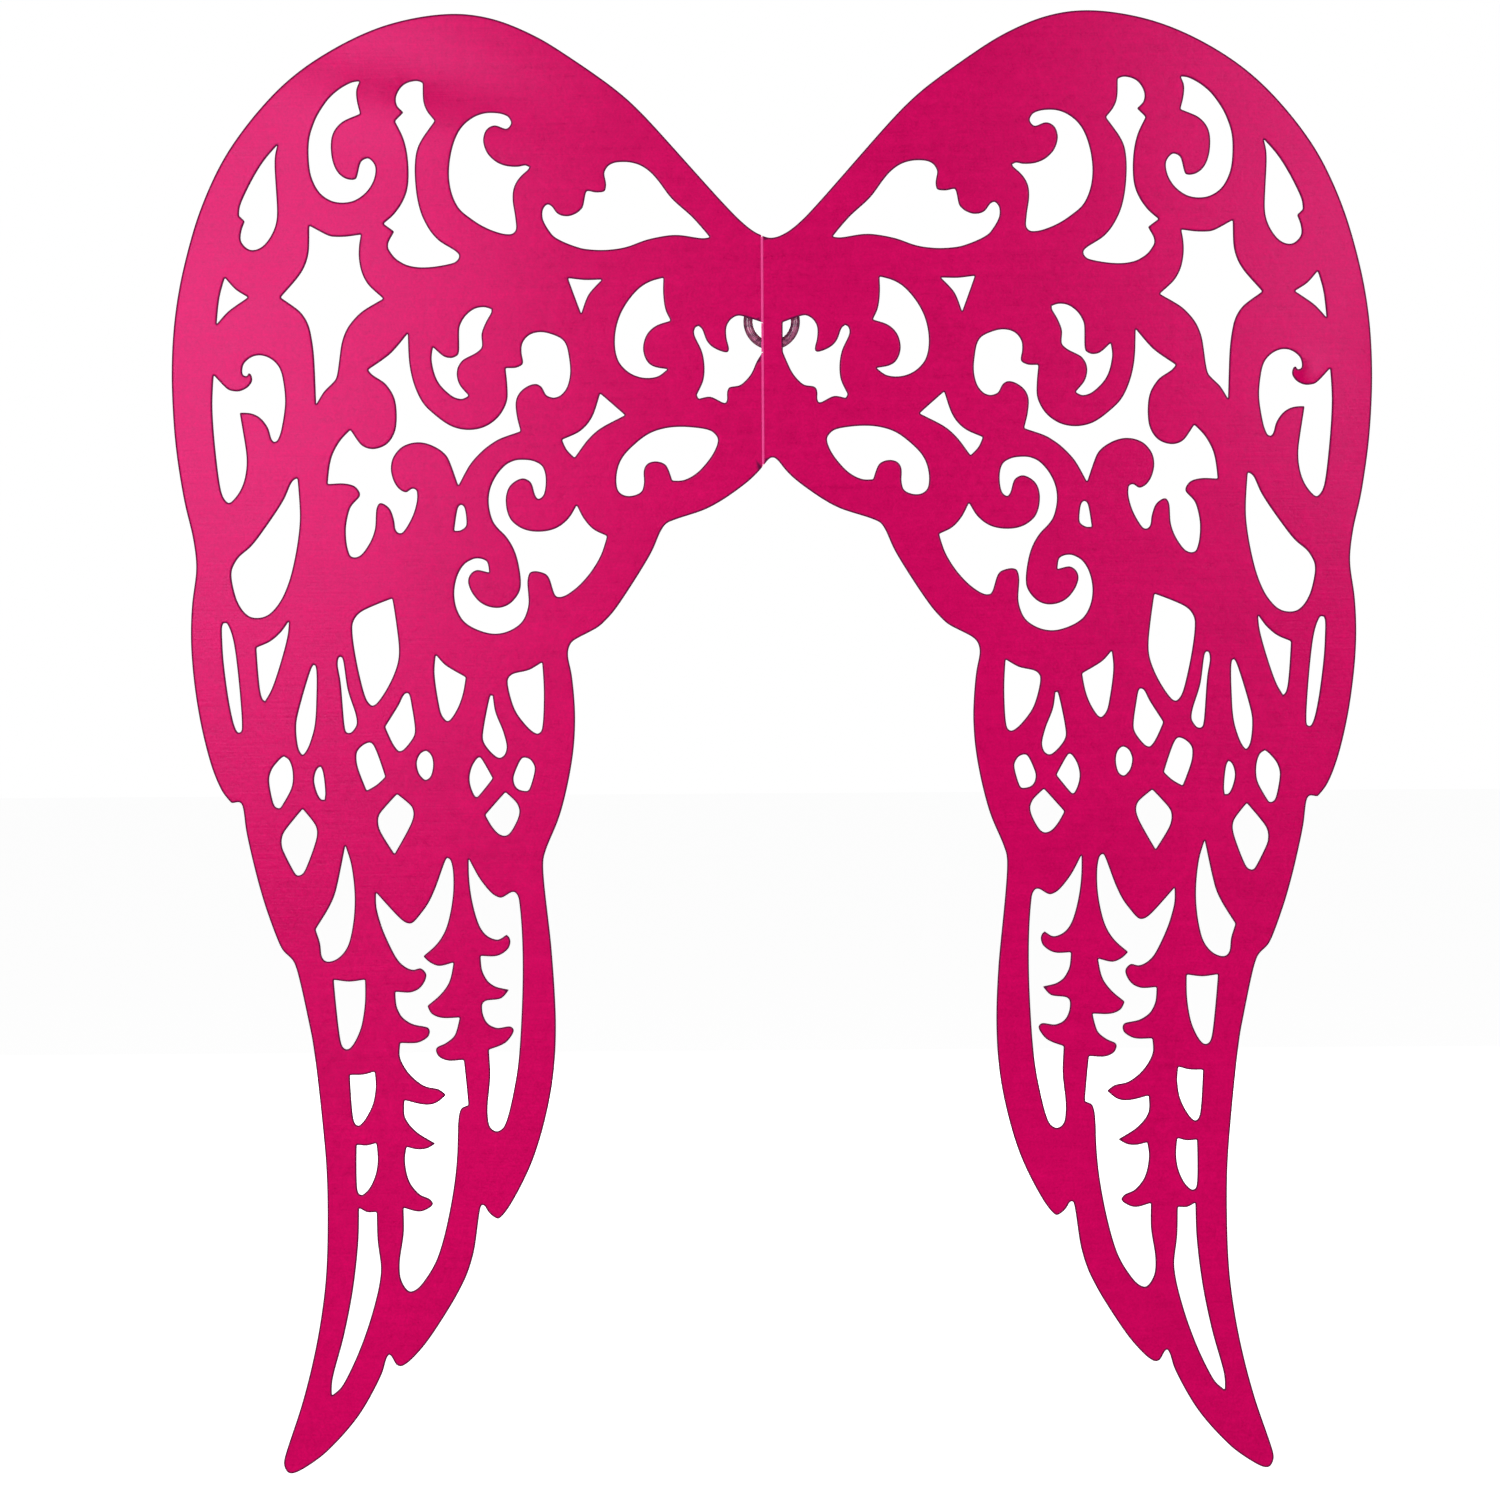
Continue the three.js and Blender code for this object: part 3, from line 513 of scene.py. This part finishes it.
def wing_sheet(name, node_name, crease_edge, sheet):
    """A panel of the sheet: filled faces front and back, joined round each edge by a rolled rim."""
    outer = [rounded(loop, crease_edge, sheet) for loop in face_loops(node_name)]
    rims = [moved_in(loop, sheet.edge_round, crease_edge) for loop in outer]
    face_points, triangles = filled(rims, sheet.edge_band, sheet.grid, crease_edge)
    walls = np.vstack(outer)
    layers = [(face_points, FRONT_Y), (face_points, BACK_Y), (walls, FRONT_Y + sheet.edge_round),
              (walls, BACK_Y - sheet.edge_round)]
    points = np.vstack([np.column_stack([flat[:, 0], np.full(len(flat), y), flat[:, 1]])
                        for flat, y in layers])
    back, wall_count = len(face_points), len(walls)
    # Mask for the painted edge shade: 1 on the cut walls and their rims, 0 inside the sheet and along the
    # crease.
    wall_painted_shade = np.abs(walls[:, 0] - crease_edge) > MERGE
    face_painted_shade = np.append(wall_painted_shade, np.zeros(back - wall_count))
    painted_edge_shade = np.concatenate([face_painted_shade, face_painted_shade, wall_painted_shade, wall_painted_shade])
    rows = [0, 2 * back, 2 * back + wall_count, back]
    faces = triangles + [[back + i for i in reversed(face)] for face in triangles]
    start = 0
    for loop in outer:
        for i in range(len(loop)):
            here, ahead = start + i, start + (i + 1) % len(loop)
            faces += [[a + here, b + here, b + ahead, a + ahead] for a, b in zip(rows, rows[1:])]
        start += len(loop)
    points[:, 1] += sway(points[:, 0], points[:, 2], sheet)
    piece = new_piece(name, points, faces)
    painted_shade_layer = piece.data.attributes.new("cut_edge", "FLOAT", "POINT")
    painted_shade_layer.data.foreach_set("value", painted_edge_shade.astype(np.float32))
    bpy.ops.object.shade_smooth_by_angle(angle=SHEET_SMOOTH)
    return piece


def sheet_finish(sheet, crease):
    """Satin magenta plastic: fine grain, faint rolled streaks, a painted highlight along the crease with
    painted shade beside it, and painted shade on the cut edges.
    """
    finish = Finish("magenta_satin_sheet")
    x, _, _ = finish.axes()
    grain = finish.noise(1100, 2, 0.7)
    mottle = finish.noise(260, 4, 0.65)
    cloud = finish.noise(22, 4, 0.6, stretch=(1.0, 1.0, 1.8))
    streak = finish.noise(14, 5, 0.62, stretch=(1.0, 1.0, 26.0))
    fine_streak = finish.noise(40, 3, 0.6, stretch=(1.0, 1.0, 30.0))
    tone = 0.985
    for pattern, contrast in ((grain, 0.55), (mottle, 0.30), (cloud, 0.18), (streak, 0.20),
                              (fine_streak, 0.14)):
        tone = tone + (pattern - 0.5) * contrast
    toned = finish.mix(1.0, sheet.magenta, finish.node("ShaderNodeCombineColor", None,
                                                       {0: tone, 1: tone, 2: tone}), "MULTIPLY")
    # This point attribute marks the cut edges, which get painted shade.
    edge = finish.node("ShaderNodeAttribute", {"attribute_name": "cut_edge"}, out="Fac")
    off_crease = (x - CREASE_X).size()
    # The band along the fold line gets a painted highlight.
    at_crease = off_crease.fade(crease.half_width * 0.7, crease.half_width * 1.3)
    # Painted shade in thin bands on both sides of the fold line, standing for shade in grooves beside the
    # ridge.
    painted_flank_shade = off_crease.fade(crease.half_width, crease.half_width * 2.6) * (1 - at_crease)
    edge = edge * (1 - at_crease)
    # Painted shade: the cut edges and the band beside them darken towards the edge shade colour.
    cut = finish.mix(edge.fade(0.8, 0.1), toned, sheet.cut_edge)
    # These bands are darkened a quarter of the way towards the painted edge shade colour.
    flanked = finish.mix(painted_flank_shade * 0.25, cut, sheet.cut_edge)
    # Painted highlight: the fold line's band is mixed towards a paler pink.
    creased = finish.mix(at_crease * (0.75 + (mottle - 0.5) * 0.5), flanked, sheet.crease_highlight)
    rough = sheet.roughness + (streak - 0.5) * 0.08 + (mottle - 0.5) * 0.10 + edge * 0.4
    height = grain * 0.35 + fine_streak * 0.6 + mottle * 0.8
    finish.set(base_color=creased, roughness=rough, specular_ior_level=0.5,
               specular_tint=sheet.satin_tint,
               normal=finish.bump(height, 0.07 * MM))
    return finish


class FAIRY_OT_wing_sheets(bpy.types.Operator):
    """Build the left and right panels of the die-cut sheet"""

    bl_idname = "fairy_wings.wing_sheets"
    bl_label = "Wing sheets"

    def execute(self, context):
        sheet = settings().sheet
        finish = sheet_finish(sheet, settings().crease)
        sides = (("left_wing_sheet", "left_wing", LEFT_BOX[1].x, "left_panel"),
                 ("right_wing_sheet", "right_wing", RIGHT_BOX[0].x, "right_panel"))
        for name, node_name, crease_edge, body in sides:
            piece = wing_sheet(name, node_name, crease_edge, sheet)
            dress(piece, finish)
            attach(piece, body)
            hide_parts(node_name)
        return {"FINISHED"}


# ---------------------------------------------------------------- the crease

def crease_spans():
    """The heights between which the two panels face each other across the crease."""
    edge = LEFT_BOX[1].x
    spans = []
    for loop in face_loops("left_wing"):
        on_edge = np.abs(loop[:, 0] - edge) < MERGE
        for i in np.flatnonzero(on_edge & np.roll(on_edge, -1)):
            ends = loop[i, 1], loop[(i + 1) % len(loop), 1]
            spans.append((min(ends), max(ends)))
    joined = []
    for low, high in sorted(spans):
        if joined and low - joined[-1][1] < MERGE:
            low = joined.pop()[0]
        joined.append((low, high))
    return joined


def crease_section(crease):
    """The fold line across: a low ridge in front, and the thin plastic that fills the gap behind."""
    gap = (RIGHT_BOX[0].x - LEFT_BOX[1].x) / 2
    across = np.linspace(-1, 1, crease.steps + 1)
    ridge = [(u * crease.half_width, -crease.rise * (1 - u ** 4)) for u in across]
    third = crease.depth / 3
    return [*ridge, (gap, third), (gap, crease.depth), (-gap, crease.depth), (-gap, third)]


def fold_line(name, spans, crease):
    """A piece of the fold line over each span of heights."""
    section = crease_section(crease)
    around = len(section)
    points, faces = [], []
    for low, high in spans:
        first = len(points)
        for z in np.linspace(low, high, crease.rows + 1):
            points += [(CREASE_X + x, FRONT_Y + y, z) for x, y in section]
        for row in range(crease.rows):
            base = first + row * around
            faces += [[base + i, base + (i + 1) % around, base + around + (i + 1) % around,
                       base + around + i] for i in range(around)]
        faces.append([first + i for i in reversed(range(around))])
        faces.append([first + crease.rows * around + i for i in range(around)])
    piece = new_piece(name, points, faces)
    bpy.ops.object.mode_set(mode="EDIT")
    bpy.ops.mesh.select_all(action="SELECT")
    bpy.ops.mesh.normals_make_consistent(inside=False)
    bpy.ops.object.mode_set(mode="OBJECT")
    bpy.ops.object.shade_smooth_by_angle(angle=CREASE_SMOOTH)
    return piece


class FAIRY_OT_crease(bpy.types.Operator):
    """Build the fold line that joins the two panels and runs on down the edge of the middle web"""

    bl_idname = "fairy_wings.crease"
    bl_label = "Crease"

    def execute(self, context):
        crease = settings().crease
        finish = sheet_finish(settings().sheet, crease)
        spans = crease_spans()
        beside_web = [(below[1] + crease.relief, above[0] - crease.relief)
                      for below, above in zip(spans, spans[1:])]
        spans[0] = (spans[0][0] + crease.shy, spans[0][1])
        spans[-1] = (spans[-1][0], spans[-1][1] - crease.shy)
        web_line = fold_line("crease_web_line", beside_web, crease)
        dress(web_line, finish)
        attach(web_line, "right_panel")
        piece = fold_line("crease_fold_line", spans, crease)
        dress(piece, finish)
        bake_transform(piece)
        return {"FINISHED"}


# ---------------------------------------------------------------- the ring

def ring_finish(ring):
    """Smoky, half-clear plastic with darker swirls and specks."""
    finish = Finish("smoky_clear_ring")
    swirl = finish.noise(260, 4, 0.6, distortion=1.2)
    speck = finish.noise(900, 3, 0.6)
    cloud = (swirl * 0.7 + speck * 0.3).fade(0.60, 0.40)
    finish.set(base_color=finish.mix(cloud, ring.smoke, ring.cloud),
               roughness=ring.roughness + (speck - 0.5) * 0.12,
               transmission_weight=0.22, ior=1.49,
               normal=finish.bump(swirl * 0.6 + speck * 0.4, 0.05 * MM))
    return finish


class FAIRY_OT_ring(bpy.types.Operator):
    """Build the moulded ring that hangs behind the sheet"""

    bl_idname = "fairy_wings.ring"
    bl_label = "Ring"

    def execute(self, context):
        ring = settings().ring
        low, high = RING_BOX
        stock = (high.y - low.y) / 2
        outer = (high.z - low.z) / 2
        deselect()
        bpy.ops.mesh.primitive_torus_add(
            location=(low + high) / 2, rotation=(math.pi / 2, 0, 0), major_segments=ring.around,
            minor_segments=ring.across, major_radius=outer - stock, minor_radius=stock)
        piece = bpy.context.active_object
        piece.name = piece.data.name = "smoky_strap_ring"
        settle(piece)
        self.raise_seam(piece, outer, ring.seam)
        bpy.ops.object.shade_smooth()
        dress(piece, ring_finish(ring))
        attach(piece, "ring")
        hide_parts("strap_ring")
        return {"FINISHED"}

    @staticmethod
    def raise_seam(piece, outer, seam):
        """Draws the moulding line out of the ring's widest circle."""
        middle = (RING_BOX[0] + RING_BOX[1]) / 2
        for vertex in piece.data.vertices:
            off = vertex.co - middle
            reach = math.hypot(off.x, off.z)
            if abs(off.y) < MERGE and reach > outer - MERGE:
                vertex.co += Vector((off.x, 0, off.z)).normalized() * seam


# ---------------------------------------------------------------- the tab

def tab_path(tab):
    """The middle of the film from its front end down, round the eye and up to its back end."""
    low, high = TAB_BOX
    strip = (0 - low.y) / 2  # the two layers lie together between the tab's front and the mount face
    eye_y, eye_z = SWING["pos_m"][1:]
    radius = eye_y - low.y - strip / 2
    front_y, back_y = low.y + strip / 2, -strip / 2
    foot_z = -high.z  # where the layers part
    path = [(front_y, z) for z in np.linspace(high.z, eye_z, 14)]
    turn = np.linspace(math.pi, 2.25 * math.pi, tab.eye_steps)[1:]
    path += [(eye_y + radius * math.cos(a), eye_z + radius * math.sin(a)) for a in turn]
    last_y, last_z = path[-1]
    for s in np.linspace(0, 1, 8)[1:]:
        bend = s * s * (3 - 2 * s)
        path.append((last_y + (back_y - last_y) * bend, last_z + (foot_z - last_z) * s))
    path += [(back_y, z) for z in np.linspace(foot_z, high.z, 10)[1:]]
    return path


def tab_finish(tab):
    """Frosted film, milky where the two layers are welded."""
    finish = Finish("frosted_tab_film")
    haze = finish.noise(500, 4, 0.6)
    scratch = finish.noise(120, 3, 0.6, stretch=(9.0, 1.0, 1.0))
    _, _, z = finish.axes()
    welded = z.fade(-5.5 * MM, -7.0 * MM)
    tint = finish.mix(welded * 0.5 + (haze - 0.5) * 0.6, tab.tint, (0.86, 0.80, 0.84))
    finish.set(base_color=tint, roughness=tab.roughness + (haze - 0.5) * 0.2,
               transmission_weight=0.35, ior=1.45,
               normal=finish.bump(haze * 0.5 + scratch * 0.5, 0.03 * MM))
    return finish


class FAIRY_OT_tab(bpy.types.Operator):
    """Build the folded film tab that holds the ring"""

    bl_idname = "fairy_wings.tab"
    bl_label = "Ring tab"

    def execute(self, context):
        tab = settings().tab
        path = tab_path(tab)
        half = TAB_BOX[1].x
        (y0, z0), (y1, z1) = path[:2]
        deselect()
        bpy.ops.mesh.primitive_plane_add(size=2 * half, rotation=(math.pi / 2, 0, 0),
                                         location=(0, y0, z0 - half))
        piece = bpy.context.active_object
        piece.name = piece.data.name = "folded_ring_tab"
        settle(piece)
        for vertex in piece.data.vertices:
            vertex.co.z = z0 if vertex.co.z > z0 - half else z1
        self.draw_out(piece, path[1:])
        self.round_corners(piece, tab.corner)
        self.thicken(piece, tab)
        dress(piece, tab_finish(tab))
        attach(piece, "right_panel")
        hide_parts("ring_tab")
        return {"FINISHED"}

    @staticmethod
    def draw_out(piece, path):
        """Extrudes the strip's free edge along the path."""
        bpy.ops.object.mode_set(mode="EDIT")
        bpy.ops.mesh.select_mode(type="EDGE")
        bm = bmesh.from_edit_mesh(piece.data)
        low = min(vertex.co.z for vertex in bm.verts)
        bpy.ops.mesh.select_all(action="DESELECT")
        for edge in bm.edges:
            if all(abs(vertex.co.z - low) < MERGE for vertex in edge.verts):
                edge.select_set(True)
        bmesh.update_edit_mesh(piece.data)
        for (y, z), (next_y, next_z) in zip(path, path[1:]):
            bpy.ops.mesh.extrude_region_move(
                TRANSFORM_OT_translate={"value": (0, next_y - y, next_z - z)})
        bpy.ops.object.mode_set(mode="OBJECT")

    @staticmethod
    def round_corners(piece, radius):
        """Rounds the four corners at the strip's two ends."""
        bpy.ops.object.mode_set(mode="EDIT")
        bpy.ops.mesh.select_mode(type="VERT")
        bpy.ops.mesh.select_all(action="DESELECT")
        bm = bmesh.from_edit_mesh(piece.data)
        for vertex in bm.verts:
            vertex.select_set(len(vertex.link_edges) == 2)
        bm.select_flush(True)
        bmesh.update_edit_mesh(piece.data)
        bpy.ops.mesh.bevel(offset=radius, segments=6, affect="VERTICES", clamp_overlap=True)
        bpy.ops.object.mode_set(mode="OBJECT")

    @staticmethod
    def thicken(piece, tab):
        """Gives the film its thickness, then rounds its edges."""
        solid = piece.modifiers.new("film", "SOLIDIFY")
        solid.thickness = tab.film
        solid.offset = 0
        edges = piece.modifiers.new("edges", "BEVEL")
        edges.width = tab.edge_round
        edges.segments = 2
        edges.limit_method = "ANGLE"
        edges.angle_limit = math.radians(60)
        for modifier in (solid, edges):
            bpy.ops.object.modifier_apply(modifier=modifier.name)
        bpy.ops.object.shade_smooth_by_angle(angle=FILM_SMOOTH)


# ---------------------------------------------------------------- floor, light and camera

def area_light(name, place, size, watts, turn=0.0):
    """A square light that faces +Y, or is turned about the upright."""
    light = bpy.data.lights.new(name, "AREA")
    light.shape = "SQUARE"
    light.size = size
    light.energy = watts
    lamp = bpy.data.objects.new(name, light)
    lamp.location = place
    lamp.rotation_euler = (math.pi / 2, 0, turn)
    lamp.visible_camera = False
    bpy.context.scene.collection.objects.link(lamp)
    return lamp


def softbox(name, corner, stage, side, watts):
    """A softbox in front of the wings, placed by its lower inner corner; side is -1 left, 1 right."""
    x, z = corner
    half = stage.softbox / 2
    place = (x + side * half, FRONT_Y - stage.softbox_away, z + half)
    return area_light(name, place, stage.softbox, watts)


def fill_lights(stage):
    """Broad lights low before and high behind. The front one doesn't mirror, and throws no shadow."""
    front_place = (0, FRONT_Y - stage.front_away, TIP_Z - stage.front_away / 2)
    front = area_light("front_fill", front_place, stage.front_away * 0.4, stage.front_watts)
    front.visible_glossy = False
    front.data.use_shadow = False
    front.data.cycles.use_multiple_importance_sampling = False
    back_place = (0, BACK_Y + stage.back_away, TOP_Z + stage.back_away / 5)
    area_light("back_fill", back_place, stage.back_away / 2, stage.back_watts, math.pi)


def paint_world(strength):
    """White to look at and to look through, and a faint even light on everything."""
    world = bpy.data.worlds.new("studio")
    bpy.context.scene.world = world
    world.use_nodes = True
    nodes, links = world.node_tree.nodes, world.node_tree.links
    path = nodes.new("ShaderNodeLightPath")
    background = nodes["Background"]
    background.inputs["Color"].default_value = (1, 1, 1, 1)
    level = None
    for ray in ("Is Camera Ray", "Is Transmission Ray"):
        choice = nodes.new("ShaderNodeMix")
        choice.inputs["A"].default_value = strength
        choice.inputs["B"].default_value = 1.0
        links.new(path.outputs[ray], choice.inputs["Factor"])
        if level:
            links.new(level, choice.inputs["A"])
        level = choice.outputs["Result"]
    links.new(level, background.inputs["Strength"])


class FAIRY_OT_stage(bpy.types.Operator):
    """Lay the floor and set the lights and the camera"""

    bl_idname = "fairy_wings.stage"
    bl_label = "Stage"

    def execute(self, context):
        stage = settings().stage
        scene = context.scene
        scene.view_settings.view_transform = "Standard"
        paint_world(stage.daylight)
        self.lay_floor(stage)
        middle_z = (TOP_Z + TIP_Z) / 2
        softbox("left_softbox", (-1.06 * REACH, middle_z + 0.1 * REACH), stage, -1, stage.left_watts)
        softbox("right_softbox", (1.62 * REACH, middle_z + 0.6 * REACH), stage, 1, stage.right_watts)
        fill_lights(stage)
        self.set_camera(scene, stage, middle_z - stage.lower)
        return {"FINISHED"}

    @staticmethod
    def lay_floor(stage):
        deselect()
        bpy.ops.mesh.primitive_plane_add(size=FLOOR_SIZE, location=(0, 0, TIP_Z - stage.floor_drop))
        floor = bpy.context.active_object
        floor.name = floor.data.name = "pale_floor"
        settle(floor)
        finish = Finish("pale_floor")
        looked_at = finish.node("ShaderNodeLightPath", out="Is Camera Ray")
        finish.set(base_color=tuple(stage.floor_tone), roughness=0.9, specular_ior_level=0.0,
                   emission_color=finish.mix(looked_at, (0, 0, 0), (1, 1, 1)),
                   emission_strength=stage.floor_glow)
        floor.data.materials.append(finish.material)
        floor.visible_glossy = False

    @staticmethod
    def set_camera(scene, stage, height):
        camera = bpy.data.objects.new("camera", bpy.data.cameras.new("camera"))
        scene.collection.objects.link(camera)
        camera.data.lens = stage.lens
        away = stage.frame_width * stage.lens / camera.data.sensor_width
        spin = Matrix.Rotation(math.pi / 2, 4, "X") @ Matrix.Rotation(stage.roll, 4, "Z")
        camera.matrix_world = Matrix.Translation((-stage.aside, FRONT_Y - away, height)) @ spin
        scene.camera = camera


# ---------------------------------------------------------------- panel and registering

class FAIRY_PT_wings(bpy.types.Panel):
    """Lists the pieces of the wings and their sizes"""

    bl_idname = "FAIRY_PT_wings"
    bl_label = "Fairy Wings"
    bl_space_type = "VIEW_3D"
    bl_region_type = "UI"
    bl_category = "Fairy Wings"

    def draw(self, context):
        groups = (("sheet", FAIRY_OT_wing_sheets), ("crease", FAIRY_OT_crease),
                  ("ring", FAIRY_OT_ring), ("tab", FAIRY_OT_tab), ("stage", FAIRY_OT_stage))
        for group_name, operator in groups:
            box = self.layout.box()
            box.operator(operator.bl_idname)
            group = getattr(context.scene.fairy_wings, group_name)
            for name in group.__annotations__:
                box.prop(group, name)


SETTINGS = (SheetSettings, CreaseSettings, RingSettings, TabSettings, StageSettings, WingSettings)
OPERATORS = (FAIRY_OT_wing_sheets, FAIRY_OT_crease, FAIRY_OT_ring, FAIRY_OT_tab, FAIRY_OT_stage)


def register():
    for group in (*SETTINGS, *OPERATORS, FAIRY_PT_wings):
        bpy.utils.register_class(group)
    bpy.types.Scene.fairy_wings = PointerProperty(type=WingSettings)


def unregister():
    del bpy.types.Scene.fairy_wings
    for group in reversed((*SETTINGS, *OPERATORS, FAIRY_PT_wings)):
        bpy.utils.unregister_class(group)


def main():
    register()
    bpy.ops.fairy_wings.wing_sheets()
    bpy.ops.fairy_wings.crease()
    bpy.ops.fairy_wings.ring()
    bpy.ops.fairy_wings.tab()
    bpy.ops.fairy_wings.stage()


if __name__ == "__main__":
    main()
